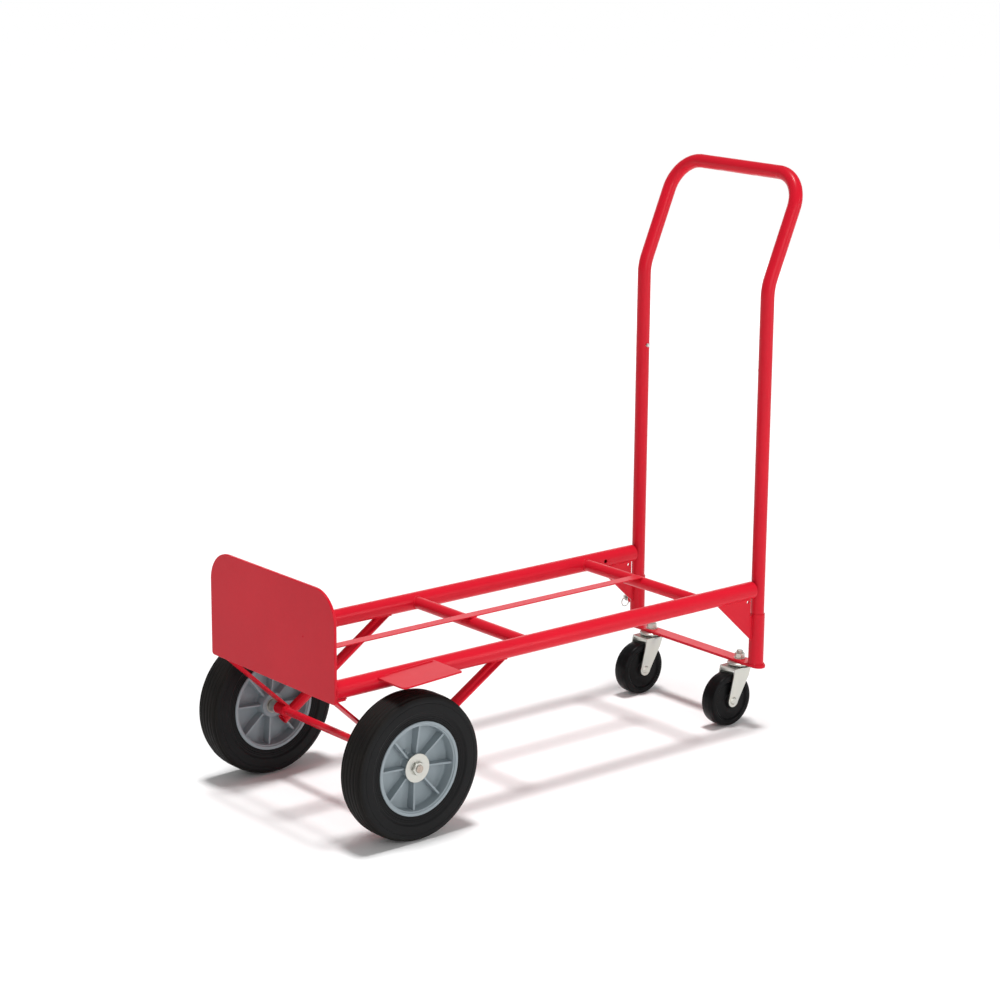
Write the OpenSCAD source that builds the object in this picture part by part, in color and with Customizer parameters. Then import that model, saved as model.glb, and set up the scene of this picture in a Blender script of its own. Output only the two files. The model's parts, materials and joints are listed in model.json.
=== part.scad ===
// Convertible hand truck, standing as a four-wheel platform cart.
// Millimetres, +Z up, +X from the toe plate towards the handle, +Y to the left.
// The origin is on the floor, at the middle of the length and of the width.

/* [Main wheels] */
// Outer diameter of a main tyre
wheel_d = 254; // [200:1:310]
// Width of a main tyre
tyre_w = 57.5; // [45:0.5:75]
// Diameter of the hub where the tyre sits on it
hub_d = 163; // [130:1:180]
// Distance from the middle of a rail out to the middle of the wheel beside it
wheel_offset = 45.35; // [45:0.05:90]
// Diameter of the main axle
axle_d = 14; // [10:0.5:20]
// Number of ribs in a hub
hub_ribs = 8; // [5:1:12]

/* [Frame] */
// Outer diameter of the side rails
rail_d = 31.75; // [28:0.05:40]
// Distance between the middles of the two side rails
rail_spacing = 328.6; // [260:0.1:400]
// Height of the middle of the rails above the top of the main tyres
rail_rise = 15.7; // [10:0.1:60]
// Distance from the axle back to the open ends of the rails
rail_back = 834; // [650:1:1000]
// Outer diameter of the two cross tubes
cross_d = 22.2; // [16:0.1:25]
// Wall of the cross tubes and braces
cross_wall = 1.8; // [1.2:0.1:3]
// Distance from the axle to the front cross tube
front_cross_x = 296.7; // [250:0.1:340]
// Distance from the open rail ends to the rear cross tube
rear_cross_setback = 128; // [110:1:300]
// Width of the middle strip of the deck
strip_w = 22; // [15:1:40]
// Thickness of the middle strip
strip_t = 2; // [2:0.5:5]

/* [Toe plate] */
// How far the toe plate reaches out past the middle of each rail
toe_side = 15.4; // [14:0.1:60]
// Height of the toe plate as it stands
toe_h = 189; // [140:1:260]
// Thickness of the toe plate
toe_t = 5; // [3:0.5:8]
// Distance from the axle to the front face of the toe plate
toe_reach = 131; // [110:1:180]
// Radius of the two upper corners of the toe plate
toe_corner_r = 54; // [10:1:80]

/* [Handle] */
// Outer diameter of the handle tube
handle_d = 25.4; // [20:0.1:31]
// Wall of the handle tube
handle_wall = 1.65; // [1.2:0.05:2.5]
// Height of the bend in the handle above the floor
knee_z = 834; // [700:1:950]
// Height of the middle of the top bar above the floor
top_bar_z = 1030; // [980:1:1150]
// How far the top bar leans back from the legs
handle_lean = 83.6; // [40:0.1:140]
// Radius of the bend in each leg of the handle
knee_r = 90; // [60:1:150]
// Radius of the two upper corners of the handle
corner_r = 62; // [40:1:90]

/* [Legs and casters] */
// Wall of the leg sockets
leg_wall = 1.55; // [1.2:0.05:3]
// Depth of a leg socket above the caster bar
leg_len = 98; // [80:1:130]
// Gap between the rail ends and the middle of the leg sockets
leg_gap = 17; // [15:0.5:30]
// Height of the top of the caster bar above the top of the caster wheels
bar_rise = 22; // [20:0.1:40]
// Width of the caster bar
bar_w = 27; // [24:1:45]
// Thickness of the caster bar
bar_t = 5; // [3:0.5:6]
// Distance from the middle of a leg in to the caster stem beside it
caster_inset = 42.7; // [40:0.1:90]
// Diameter of a caster wheel
caster_d = 101.6; // [80:0.1:125]
// Width of a caster wheel
caster_w = 32; // [22:1:34]
// How far a caster wheel trails behind its stem
caster_trail = 33; // [20:1:40]
// Diameter of a caster stem
stem_d = 12; // [10:0.5:14]
// Diameter of the rivet that a caster wheel turns on
rivet_d = 10; // [6:0.5:12]

/* [Lock pin] */
// Diameter of the lock pin
pin_d = 8; // [6:0.5:9]
// Travel of the lock pin
pin_travel = 8; // [6:0.5:10]
// Height of the lock pin above the caster bar
pin_height = 45; // [30:0.1:70]
// Mean diameter of the pull ring
ring_d = 18; // [14:1:24]
// Wire diameter of the pull ring
ring_wire_d = 1.8; // [1.2:0.1:2.2]
// Diameter of the snap buttons in the handle
button_d = 7; // [5:0.5:8]
// Height of the snap buttons above the caster bar
button_height = 556.4; // [400:0.1:600]

/* [Hidden] */
$fn = 72;
// Small excess of a cutter past the face that it cuts
over = 1;
// Radial clearance of a shaft that turns or slides in its hole
fit = 0.05;
// Gap between faces that pass each other
gap = 0.4;

red = [0.80, 0.08, 0.12];
zinc = [0.78, 0.79, 0.80];
black = [0.06, 0.06, 0.06];
grey = [0.56, 0.60, 0.65];

// How far the handle tube swells where it is bent, and how far its straights lap into the bends
bend_swell = 0.06;
bend_lap = 1;

// The frame is drawn with x = 0 at the axle, and this moves it to the middle of the length.
leg_x = rail_back + leg_gap;
length_front = -toe_reach;
length_back = leg_x + handle_lean + handle_d / 2 + bend_swell;
mid_x = (length_front + length_back) / 2;

rail_y = rail_spacing / 2;
wheel_y = rail_y + wheel_offset;
rail_z = wheel_d + rail_rise;
// Radial clearance of the handle tube in the rails, where it goes for upright use
rail_fit = 0.3;
rail_bore_r = handle_d / 2 + rail_fit;
wheel_r = wheel_d / 2;
hub_r = hub_d / 2;
rail_r = rail_d / 2;
cross_r = cross_d / 2;
toe_back_x = -toe_reach + toe_t;
toe_bottom_z = rail_z - rail_r - toe_t;
rear_cross_x = rail_back - rear_cross_setback;
lock_hole_x = rail_back - 82.4;
strip_z = rail_z + cross_r;

// Axle stack: the hub boss reaches further in than out.
boss_in = 24;
boss_out = 17.5;
boss_r = 22;
bearing_r = 14;
bearing_w = 8;
washer_r = 25;
washer_t = 2.5;
axle_nut_h = 5;
axle_nut_flats = 21;
axle_tip = 2;
washer_y = wheel_y + boss_out + gap;
axle_end_y = washer_y + washer_t + axle_nut_h + axle_tip;
strap_w = 25;
strap_t = 4;
strap_y = rail_y - 6.3;
strap_eye_r = 10.5;
spacer_y = strap_y + strap_w / 2;
brace_d = 19;
brace_foot_z = wheel_r - brace_d;
brace_top_x = 249;

guard_t = 3;
guard_x0 = -42;
guard_x1 = 80;
guard_mid_z = rail_z + 9;
guard_tilt = 2.6;
guard_in_y = rail_y + 4;
guard_overhang = 9.9;
guard_out_y = wheel_y + tyre_w / 2 + guard_overhang;
guard_corner_r = 9;

plate_t = 3.4;
gusset_x0 = rail_back - 86;
gusset_foot = 48;
gusset_slot = 7;

bar_top_z = caster_d + bar_rise;
handle_r = handle_d / 2;
leg_bore_r = handle_r + fit;
leg_r = leg_bore_r + leg_wall;
leg_top_z = bar_top_z + leg_len;
handle_foot_z = bar_top_z + gap;
pin_z = bar_top_z + pin_height;
pin_r = pin_d / 2;
boss_len = 6;
lock_boss_r = 7;
pin_tip = leg_bore_r + 0.65;
knob_y = leg_r + boss_len + pin_travel + 0.5;
knob_t = 3;
tab_t = 4;
tab_len = 7;
ring_y = knob_y + knob_t + tab_len / 2;
ring_hole_r = 1.4;
button_z = bar_top_z + button_height;
button_out = 4;
button_flange_t = 1.2;
button_flange = handle_r - handle_wall - 2.7;

stem_r = stem_d / 2;
bar_z = bar_top_z - bar_t;
bar_half = rail_y + 20;
race_r = 23;
race_t = 3;
ball_r = 2.5;
ball_ring_r = 16;
ball_count = 14;
crown_t = 3.5;
crown_r = 24;
ball_z = bar_z - race_t - gap - ball_r;
crown_top_z = ball_z - 1.3;
crown_z = crown_top_z - crown_t;
stem_head_h = 3;
stem_nut_h = 9;
stem_nut_flats = 17;
stem_washer_t = 2;
caster_r = caster_d / 2;
caster_y = rail_y - caster_inset;
fork_t = 2.6;
fork_gap = caster_w / 2 + 2;
fork_back = 10;
rivet_r = rivet_d / 2;
fork_eye_r = 12;

module place() { translate([-mid_x, 0, 0]) children(); }
// Draws the left side as it is and the right side as its mirror image.
module on_side(s) { if (s > 0) children(); else mirror([0, 1, 0]) children(); }
// Turns a shape drawn along Z so that it lies along +Y.
module along_y() { rotate([-90, 0, 0]) children(); }
// Turns a shape drawn along Z so that it lies along +X.
module along_x() { rotate([0, 90, 0]) children(); }
// Stands an outline drawn in X and Z upright, from y = 0 to y = t.
module upright(t) { translate([0, t, 0]) rotate([90, 0, 0]) linear_extrude(t) children(); }

// Round tube along +Z.
module tube(r, bore_r, len) {
    difference() {
        cylinder(r = r, h = len);
        translate([0, 0, -over]) cylinder(r = bore_r, h = len + 2 * over);
    }
}

// Hexagon nut along +Z, with the edges of both faces chamfered and a round bore.
module hex_nut(flats, h, bore_r) {
    difference() {
        intersection() {
            cylinder(d = flats / cos(30), h = h, $fn = 6);
            rotate_extrude() polygon([[0, 0], [flats / 2, 0], [flats / 2 / cos(30), h * 0.2],
                [flats / 2 / cos(30), h * 0.8], [flats / 2, h], [0, h]]);
        }
        translate([0, 0, -over]) cylinder(r = bore_r, h = h + 2 * over);
    }
}

// Points of an arc about c from angle a0 to a1.
function arc(c, r, a0, a1, n = 6) =
    [for (i = [0 : n]) let (a = a0 + (a1 - a0) * i / n) [c[0] + r * cos(a), c[1] + r * sin(a)]];

// ---- Frame ----

// Outer surface of a side rail, used to cope what is welded to it.
module rail_solid(s) { translate([-toe_reach, s * rail_y, rail_z]) along_x() cylinder(r = rail_r, h = 2 * rail_back); }

module rail(s) {
    color(red) place() difference() {
        translate([toe_back_x, s * rail_y, rail_z]) along_x() tube(rail_r, rail_bore_r, rail_back - toe_back_x);
        // Lock hole in the inner wall, for the handle's snap button.
        on_side(s) translate([lock_hole_x, rail_y - rail_r - over, rail_z]) along_y() cylinder(d = button_d + 1, h = rail_r);
    }
}

module cross_tube(x) {
    color(red) place() difference() {
        translate([x, -rail_y, rail_z]) along_y() tube(cross_r, cross_r - cross_wall, 2 * rail_y);
        rail_solid(1);
        rail_solid(-1);
    }
}

module deck_strip() {
    color(red) place() translate([toe_back_x, -strip_w / 2, strip_z])
        cube([rear_cross_x - 4 - toe_back_x, strip_w, strip_t]);
}

module toe_plate() {
    half = rail_y + toe_side;
    foot_r = 6;
    color(red) place() translate([-toe_reach, 0, toe_bottom_z]) rotate([90, 0, 90]) linear_extrude(toe_t)
        polygon(concat(arc([half - toe_corner_r, toe_h - toe_corner_r], toe_corner_r, 0, 90, 12),
            arc([toe_corner_r - half, toe_h - toe_corner_r], toe_corner_r, 90, 180, 12),
            arc([foot_r - half, foot_r], foot_r, 180, 270), arc([half - foot_r, foot_r], foot_r, 270, 360)));
}

module wheel_guard(s) {
    color(red) place() difference() {
        on_side(s) translate([(guard_x0 + guard_x1) / 2, 0, guard_mid_z]) rotate([0, -guard_tilt, 0])
            linear_extrude(guard_t) {
                half = (guard_x1 - guard_x0) / 2;
                polygon(concat([[-half, guard_in_y], [half, guard_in_y]],
                    arc([half - 3, guard_out_y - 3], 3, 0, 90),
                    arc([guard_corner_r - half, guard_out_y - guard_corner_r], guard_corner_r, 90, 180)));
            }
        rail_solid(s);
    }
}

// ---- Axle and what holds it ----

module axle_cutter(y0, y1) { translate([0, y0, wheel_r]) along_y() cylinder(d = axle_d, h = y1 - y0); }

module axle() { color(red) place() axle_cutter(-axle_end_y, axle_end_y); }

// Tube brace from the underside of a rail down to the underside of the axle, coped round the strap's eye.
module axle_brace(s) {
    dx = brace_top_x;
    dy = rail_y - strap_y;
    dz = rail_z - brace_foot_z;
    len = norm([dx, dy, dz]);
    color(red) place() difference() {
        on_side(s) translate([0, strap_y, brace_foot_z]) rotate([0, acos(dz / len), atan2(dy, dx)])
            tube(brace_d / 2, brace_d / 2 - cross_wall, len);
        rail_solid(s);
        translate([0, -rail_y - strap_w, wheel_r]) along_y() cylinder(r = strap_eye_r, h = 2 * (rail_y + strap_w));
    }
}

// Flat strap from under the front end of a rail down to an eye on the axle.
module axle_strap(s) {
    x0 = toe_back_x + 4;
    z0 = rail_z - rail_r - strap_t / 2;
    reach = norm([x0, z0 - wheel_r]);
    line = atan2(z0 - wheel_r, -x0);
    slope = line - asin((strap_eye_r - strap_t / 2) / reach);
    len = sqrt(reach * reach - pow(strap_eye_r - strap_t / 2, 2));
    color(red) place() difference() {
        on_side(s) translate([0, strap_y - strap_w / 2, 0]) {
            upright(strap_w) union() {
                translate([0, wheel_r]) circle(r = strap_eye_r);
                translate([x0, z0]) rotate(-slope) translate([0, -strap_t / 2]) square([len, strap_t]);
                translate([toe_back_x, z0 - strap_t / 2]) square([24, strap_t]);
            }
        }
        axle_cutter(-rail_y - strap_w, rail_y + strap_w);
        rail_solid(s);
    }
}

module axle_spacers() {
    color(zinc) place() for (s = [-1, 1]) on_side(s) translate([0, spacer_y, wheel_r]) along_y()
        tube(11, axle_d / 2, wheel_y - boss_in - gap - spacer_y);
}

module axle_washers() {
    color(zinc) place() for (s = [-1, 1]) on_side(s) translate([0, washer_y, wheel_r]) along_y()
        tube(washer_r, axle_d / 2, washer_t);
}

module axle_nuts() {
    color(zinc) place() for (s = [-1, 1]) on_side(s) translate([0, washer_y + washer_t, wheel_r]) along_y()
        hex_nut(axle_nut_flats, axle_nut_h, axle_d / 2);
}

// ---- Main wheels, drawn along +Z with the outer side up ----

module on_wheel(s) { place() on_side(s) translate([0, wheel_y, wheel_r]) along_y() children(); }

module tyre(s) {
    half = tyre_w / 2;
    bead = half - 4;
    side_r = hub_r + (wheel_r - hub_r) * 0.31;
    shoulder_r = 9;
    shoulder = [wheel_r - 1 - shoulder_r, half - shoulder_r];
    color(black) on_wheel(s) rotate_extrude($fn = 144) polygon(concat(
        [[hub_r, -bead], [side_r, -bead - 1], [side_r + 2, -half]],
        arc([shoulder[0], -shoulder[1]], shoulder_r, -90, -5), [[wheel_r, -half * 0.3], [wheel_r, half * 0.3]],
        arc(shoulder, shoulder_r, 5, 90), [[side_r + 2, half], [side_r, bead + 1], [hub_r, bead]]));
}

// One rib, as an outline in radius and height, from the boss out to the rim.
module hub_rib(rim_r) {
    rotate([90, 0, 0]) translate([0, 0, -2.2]) linear_extrude(4.4)
        polygon([[boss_r - 2, -boss_in + 6], [rim_r + 1, 5 - tyre_w / 2 + 3], [rim_r + 1, tyre_w / 2 - 9],
            [boss_r - 2, boss_out - 3]]);
}

module hub(s) {
    rim_r = hub_r - 8;
    rim_half = tyre_w / 2 - 2.8;
    color(grey) on_wheel(s) difference() {
        union() {
            rotate_extrude($fn = 96) polygon([[axle_d / 2 + 1, -boss_in], [boss_r, -boss_in],
                [boss_r + 1, -2.5], [rim_r - 1, -2.5], [rim_r, -rim_half + 1], [rim_r + 1, -rim_half],
                [hub_r, -rim_half], [hub_r, rim_half], [rim_r + 1, rim_half], [rim_r, rim_half - 1],
                [rim_r - 1, 2.5], [boss_r + 1, 2.5], [boss_r, boss_out], [axle_d / 2 + 1, boss_out]]);
            for (i = [0 : hub_ribs - 1]) rotate(-5 - i * 360 / hub_ribs) hub_rib(rim_r);
            // Moulded grease boss between two ribs.
            rotate(-117) translate([boss_r + 9, 0, 0]) cylinder(r = 3.5, h = 9);
        }
        for (z = [-boss_in - over, boss_out - bearing_w]) translate([0, 0, z]) cylinder(r = bearing_r, h = bearing_w + over);
    }
}

// Two sealed bearings, pressed into the ends of the hub.
module hub_bearings(s) {
    bore_r = axle_d / 2 + fit;
    color(zinc) on_wheel(s) for (z = [-boss_in, boss_out - bearing_w]) translate([0, 0, z])
        rotate_extrude() polygon([[bore_r, 0], [bore_r + 2, 0], [bore_r + 2.4, 0.6], [bearing_r - 2.4, 0.6],
            [bearing_r - 2, 0], [bearing_r, 0], [bearing_r, bearing_w], [bearing_r - 2, bearing_w],
            [bearing_r - 2.4, bearing_w - 0.6], [bore_r + 2.4, bearing_w - 0.6], [bore_r + 2, bearing_w],
            [bore_r, bearing_w]]);
}

// ---- Legs ----

module leg_solid(s) { translate([leg_x, s * rail_y, bar_top_z - bar_t]) cylinder(r = leg_r, h = leg_len + bar_t); }

// The one lock pin goes into the left leg from its outer side.
module pin_cutter(r) { translate([leg_x, rail_y, pin_z]) along_y() cylinder(r = r, h = leg_r + boss_len + over); }

module leg_socket(s) {
    color(red) place() difference() {
        translate([leg_x, s * rail_y, bar_top_z]) tube(leg_r, leg_bore_r, leg_len);
        if (s > 0) pin_cutter(pin_r + fit);
    }
}

// Upright plate between a rail and its leg socket, cut clear of the handle above the socket.
module gusset(s) {
    slot_x = leg_x - handle_r - gusset_slot;
    under_z = rail_z - rail_r;
    color(red) place() difference() {
        on_side(s) translate([0, rail_y - plate_t / 2, 0]) upright(plate_t)
            polygon([[gusset_x0, under_z + over], [gusset_x0, under_z - 1], [leg_x - leg_r, bar_top_z + gusset_foot],
                [leg_x, bar_top_z + gusset_foot], [leg_x, leg_top_z - 2], [slot_x, leg_top_z - 2],
                [slot_x, under_z + over]]);
        rail_solid(s);
        leg_solid(s);
        // Tether hole beside the slot.
        on_side(s) translate([slot_x - 7, rail_y - plate_t, under_z - 6]) along_y() cylinder(d = 6, h = 2 * plate_t);
    }
}

module caster_bar() {
    color(red) place() difference() {
        translate([leg_x, 0, bar_z]) linear_extrude(bar_t) {
            end_r = bar_w / 2;
            polygon(concat(arc([0, bar_half - end_r], end_r, 0, 180, 12), arc([0, end_r - bar_half], end_r, 180, 360, 12)));
        }
        for (s = [-1, 1]) translate([leg_x, s * caster_y, bar_z - over]) cylinder(r = stem_r, h = bar_t + 2 * over);
    }
}

module lock_boss() {
    color(red) place() difference() {
        translate([leg_x, rail_y, pin_z]) along_y() cylinder(r = lock_boss_r, h = leg_r + boss_len);
        leg_solid(1);
        pin_cutter(pin_r + fit);
    }
}

// ---- Lock pin, drawn pulled back so that the handle is free ----

module lock_pin() {
    color(zinc) place() translate([leg_x, rail_y, pin_z]) {
        along_y() translate([0, 0, pin_tip]) rotate_extrude() polygon([[0, 0], [pin_r - 1, 0], [pin_r, 1],
            [pin_r, knob_y - pin_tip], [6, knob_y - pin_tip], [6, knob_y - pin_tip + knob_t],
            [0, knob_y - pin_tip + knob_t]]);
        difference() {
            translate([-tab_t / 2, knob_y + knob_t, -4]) cube([tab_t, tab_len, 8]);
            translate([-tab_t, ring_y, 0]) along_x() cylinder(r = ring_hole_r, h = 2 * tab_t);
        }
    }
}

module pull_ring() {
    color(zinc) place() translate([leg_x, rail_y + ring_y, pin_z - ring_d / 2 + 0.1]) along_y()
        rotate_extrude() translate([ring_d / 2, 0]) circle(d = ring_wire_d, $fn = 32);
}

// ---- Handle ----

// Angle of the lean of the upper part.
lean_a = atan2(handle_lean, top_bar_z - knee_z);
lean_len = norm([handle_lean, top_bar_z - knee_z]);
dent_y = 45.5;
dent_r = 40;
dent_depth = 1;
knee_tangent = knee_r * tan(lean_a / 2);

// Bend of the handle tube, from angle 0 to a about Z. The tube swells a little where it is bent.
module bend(bend_r, a, r) { rotate_extrude(angle = a) translate([bend_r, 0]) circle(r = r + bend_swell); }

// Straight stretch of the handle tube along +Z, lapped into the bend at each end.
module straight(r, z0, z1) { translate([0, 0, z0 - bend_lap]) cylinder(r = r, h = z1 - z0 + 2 * bend_lap); }

// The whole handle path with a round section of radius r, used for the tube and for its bore.
module handle_path(r, end) {
    for (s = [-1, 1]) on_side(s) translate([leg_x, rail_y, 0]) {
        straight(r, handle_foot_z + bend_lap - end, knee_z - knee_tangent);
        // Bend towards +X.
        translate([knee_r, 0, knee_z - knee_tangent]) rotate([90, 0, 0]) rotate(180 - lean_a) bend(knee_r, lean_a, r);
        translate([0, 0, knee_z]) rotate([0, lean_a, 0]) {
            straight(r, knee_tangent, lean_len - corner_r);
            translate([0, -corner_r, lean_len - corner_r]) rotate([90, 0, 90]) bend(corner_r, 90, r);
        }
    }
    translate([leg_x + handle_lean, 0, top_bar_z]) along_y() straight(r, corner_r - rail_y, rail_y - corner_r);
}

module handle_loop() {
    color(red) place() difference() {
        handle_path(handle_r, 0);
        handle_path(handle_r - handle_wall, over);
        pin_cutter(pin_r + 0.5);
        // Finger dents under the top bar.
        for (s = [-1, 1]) translate([leg_x + handle_lean, s * dent_y, top_bar_z]) rotate([0, lean_a, 0])
            translate([-handle_d, 0, -handle_r - dent_r + dent_depth]) along_x() cylinder(r = dent_r, h = 2 * handle_d);
        for (s = [-1, 1]) on_side(s) translate([leg_x, rail_y - 2 * handle_r, button_z]) along_y()
            cylinder(r = button_d / 2 + fit, h = 2 * handle_r);
    }
}

// Domed button, drawn along +Z from the middle of the tube out through its wall.
module snap_button(s) {
    r = button_d / 2;
    flange_r = r + 1.5;
    color(zinc) place() on_side(s) translate([leg_x, rail_y, button_z]) rotate([90, 0, 0]) rotate_extrude()
        polygon(concat([[0, button_flange - button_flange_t], [flange_r, button_flange - button_flange_t],
            [flange_r, button_flange], [r, button_flange], [r, handle_r + button_out - 2]],
            arc([r - 2, handle_r + button_out - 2], 2, 0, 90), [[0, handle_r + button_out]]));
}

// V-shaped leaf spring inside the handle tube, behind a snap button and clear of it when it is pressed.
// The back leaf rests on the wall of the tube along its two edges.
module button_spring(s) {
    t = 0.8;
    w = 6;
    front = button_out + gap + button_flange_t - button_flange;
    back = sqrt(pow(handle_r - handle_wall, 2) - pow(w / 2, 2)) - fit;
    drop = 40;
    color(zinc) place() on_side(s) translate([leg_x - w / 2, rail_y, button_z]) rotate([90, 0, 90]) linear_extrude(w)
        polygon([[front, 6], [front + t, 6], [front + t, -drop * 0.6], [back - t, -drop], [back - t, 8],
            [back, 8], [back, -drop - 2 * t], [front, -drop * 0.6 - t]]);
}

// ---- Casters, each drawn about its stem ----

module on_stem(s) { place() translate([leg_x, s * caster_y, 0]) children(); }

module caster_stems() {
    color(zinc) for (s = [-1, 1]) on_stem(s) rotate_extrude() polygon([[0, crown_z - 0.3 - stem_head_h],
        [9, crown_z - 0.3 - stem_head_h], [9, crown_z - 0.3], [stem_r, crown_z - 0.3],
        [stem_r, bar_top_z + stem_washer_t + stem_nut_h + 4], [stem_r - 1, bar_top_z + stem_washer_t + stem_nut_h + 5],
        [0, bar_top_z + stem_washer_t + stem_nut_h + 5]]);
}

module caster_stem_washers() {
    color(zinc) for (s = [-1, 1]) on_stem(s) translate([0, 0, bar_top_z]) tube(11, stem_r, stem_washer_t);
}

module caster_stem_nuts() {
    color(zinc) for (s = [-1, 1]) on_stem(s) translate([0, 0, bar_top_z + stem_washer_t])
        hex_nut(stem_nut_flats, stem_nut_h, stem_r);
}

// Fixed upper races, dished down round the balls.
module caster_races() {
    color(zinc) for (s = [-1, 1]) on_stem(s) rotate_extrude() polygon([[stem_r, bar_z - race_t], [stem_r, bar_z],
        [race_r - 2, bar_z], [race_r, bar_z - 2], [race_r, bar_z - race_t - 1.5], [race_r - 1.6, bar_z - race_t - 1.5],
        [race_r - 1.6, bar_z - race_t]]);
}

module swivel_balls(s) {
    color(zinc) on_stem(s) for (i = [0 : ball_count - 1])
        rotate(i * 360 / ball_count) translate([ball_ring_r, 0, ball_z]) sphere(r = ball_r, $fn = 32);
}

// One cheek of a fork, as an outline in X and Z.
module fork_cheek() {
    upright(fork_t) difference() {
        union() {
            translate([-caster_trail, caster_r]) circle(r = fork_eye_r);
            polygon([[-caster_trail - fork_eye_r, caster_r], [2 - caster_trail, crown_z + 1],
                [fork_back, crown_z + 1], [fork_back - 5, crown_z - 14], [-caster_trail + fork_eye_r * 0.95, caster_r - 3]]);
        }
        translate([-caster_trail, caster_r]) circle(r = rivet_r);
    }
}

module caster_fork(s) {
    color(zinc) on_stem(s) difference() {
        union() {
            translate([0, 0, crown_z]) cylinder(r = crown_r, h = crown_t);
            // The crown reaches out over the wheel to the cheeks.
            translate([2 - caster_trail, -fork_gap - fork_t, crown_z])
                cube([caster_trail - 2 + fork_back, 2 * (fork_gap + fork_t), crown_t]);
            for (m = [-1, 1]) on_side(m) translate([0, fork_gap, 0]) fork_cheek();
        }
        translate([0, 0, crown_z - over]) cylinder(r = stem_r + fit, h = crown_t + 2 * over);
        translate([0, 0, ball_z]) rotate_extrude() translate([ball_ring_r, 0]) circle(r = ball_r, $fn = 32);
    }
}

module on_caster(s) { on_stem(s) translate([-caster_trail, 0, caster_r]) rotate([90, 0, 0]) children(); }

module caster_rivet(s) {
    half = fork_gap + fork_t;
    color(zinc) on_caster(s) rotate_extrude() polygon([[0, -half - 2], [5, -half - 2], [7.5, -half], [rivet_r, -half],
        [rivet_r, half], [7.5, half], [5, half + 2], [0, half + 2]]);
}

module caster_wheel(s) {
    half = caster_w / 2;
    bush_r = rivet_r + 3;
    edge = caster_r - 7;
    shoulder_r = 5;
    shoulder = [caster_r - 0.5 - shoulder_r, half - shoulder_r];
    color(black) on_caster(s) rotate_extrude($fn = 96) polygon(concat(
        [[bush_r, -half - 1], [bush_r + 6, -half - 1], [bush_r + 7, 3 - half], [edge - 8, 4 - half], [edge - 5, -half]],
        arc([shoulder[0], -shoulder[1]], shoulder_r, -90, -5), [[caster_r, -half * 0.3], [caster_r, half * 0.3]],
        arc(shoulder, shoulder_r, 5, 90), [[edge - 5, half], [edge - 8, half - 4], [bush_r + 7, half - 3],
        [bush_r + 6, half + 1], [bush_r, half + 1]]));
}

module caster_bush(s) {
    half = caster_w / 2 + 1.5;
    color(zinc) on_caster(s) translate([0, 0, -half]) tube(rivet_r + 3, rivet_r + fit, 2 * half);
}

rail(1);  // rail_left
rail(-1);  // rail_right
cross_tube(front_cross_x);  // front_cross_tube
cross_tube(rear_cross_x);  // rear_cross_tube
deck_strip();
toe_plate();
wheel_guard(1);  // wheel_guard_left
wheel_guard(-1);  // wheel_guard_right
axle_brace(1);  // axle_brace_left
axle_brace(-1);  // axle_brace_right
axle_strap(1);  // axle_strap_left
axle_strap(-1);  // axle_strap_right
axle();
axle_spacers();
axle_washers();
axle_nuts();
gusset(1);  // gusset_left
gusset(-1);  // gusset_right
leg_socket(1);  // leg_socket_left
leg_socket(-1);  // leg_socket_right
caster_bar();
caster_stems();
caster_stem_washers();
caster_stem_nuts();
caster_races();
lock_boss();
lock_pin();
pull_ring();
handle_loop();
snap_button(1);  // snap_button_left
snap_button(-1);  // snap_button_right
button_spring(1);  // button_spring_left
button_spring(-1);  // button_spring_right
tyre(1);  // tyre_left
tyre(-1);  // tyre_right
hub(1);  // hub_left
hub(-1);  // hub_right
hub_bearings(1);  // hub_bearings_left
hub_bearings(-1);  // hub_bearings_right
caster_fork(1);  // caster_fork_left
caster_fork(-1);  // caster_fork_right
swivel_balls(1);  // swivel_balls_left
swivel_balls(-1);  // swivel_balls_right
caster_rivet(1);  // caster_rivet_left
caster_rivet(-1);  // caster_rivet_right
caster_wheel(1);  // caster_wheel_left
caster_wheel(-1);  // caster_wheel_right
caster_bush(1);  // caster_bush_left
caster_bush(-1);  // caster_bush_right
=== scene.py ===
"""Looks of a convertible hand truck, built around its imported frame.

Places and overall sizes are read from the frame's solids, in metres, with +X from the toe plate
towards the handle, +Y to the left and +Z up. Fine detail that the solids leave out is set here.
"""

import json
import math

import bmesh
import bpy
import numpy as np
from bpy.props import FloatProperty, FloatVectorProperty, IntProperty, PointerProperty
from mathutils import Matrix, Vector


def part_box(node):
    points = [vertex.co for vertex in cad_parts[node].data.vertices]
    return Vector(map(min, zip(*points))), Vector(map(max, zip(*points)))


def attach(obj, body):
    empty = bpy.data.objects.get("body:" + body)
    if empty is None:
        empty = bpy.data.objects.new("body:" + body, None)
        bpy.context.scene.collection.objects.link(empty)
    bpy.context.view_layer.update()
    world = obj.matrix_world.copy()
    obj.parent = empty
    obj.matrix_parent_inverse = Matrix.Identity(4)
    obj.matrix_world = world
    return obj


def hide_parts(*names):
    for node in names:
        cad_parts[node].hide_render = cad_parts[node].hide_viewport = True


bl_info = {
    "name": "Convertible Hand Truck",
    "version": (1, 0, 0),
    "blender": (4, 5, 0),
    "location": "View3D > Sidebar > Hand Truck",
    "description": "Builds the finished surfaces of a convertible hand truck on its frame",
    "category": "Add Mesh",
}

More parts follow.
